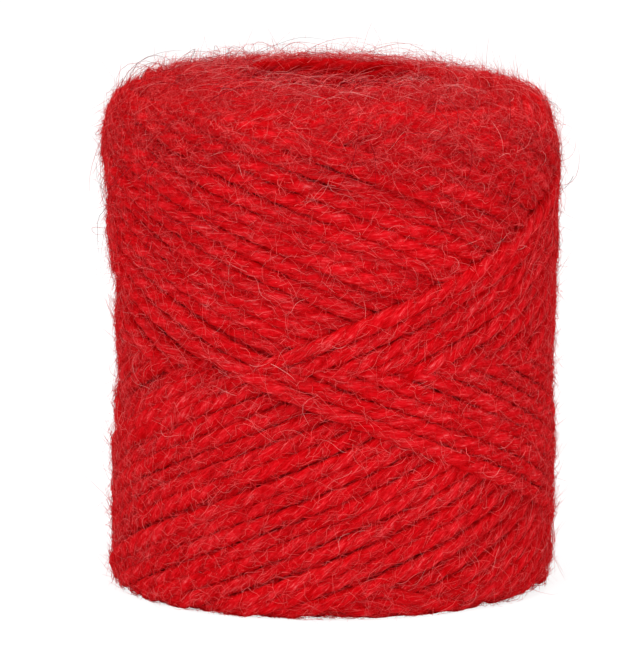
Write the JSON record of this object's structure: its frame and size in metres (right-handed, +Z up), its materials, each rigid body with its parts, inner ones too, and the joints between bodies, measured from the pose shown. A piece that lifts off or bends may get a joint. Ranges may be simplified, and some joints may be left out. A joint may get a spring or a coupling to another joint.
{
  "type": "twine reel",
  "caption": "Reel of coarse red jute twine, cross-wound on a cardboard core tube into a waisted barrel with rounded shoulders and a dimpled hollow through its ends.",
  "frame": {"origin": "on the winding axis, in the plane of the foot that the reel stands on", "axes": "+Z up along the winding axis, -Y towards the side where the last turns cross"},
  "size_m": [0.0766, 0.0766, 0.0879],
  "materials": {
    "twine": "matt, hairy natural fibre, dyed red",
    "cardboard": "matt grey-brown core board"
  },
  "bodies": {
    "root": {"core_tube": "cardboard", "winding_layer_1": "twine", "winding_layer_2": "twine", "winding_layer_3": "twine", "winding_layer_4": "twine", "winding_layer_5": "twine"}
  },
  "joints": []
}
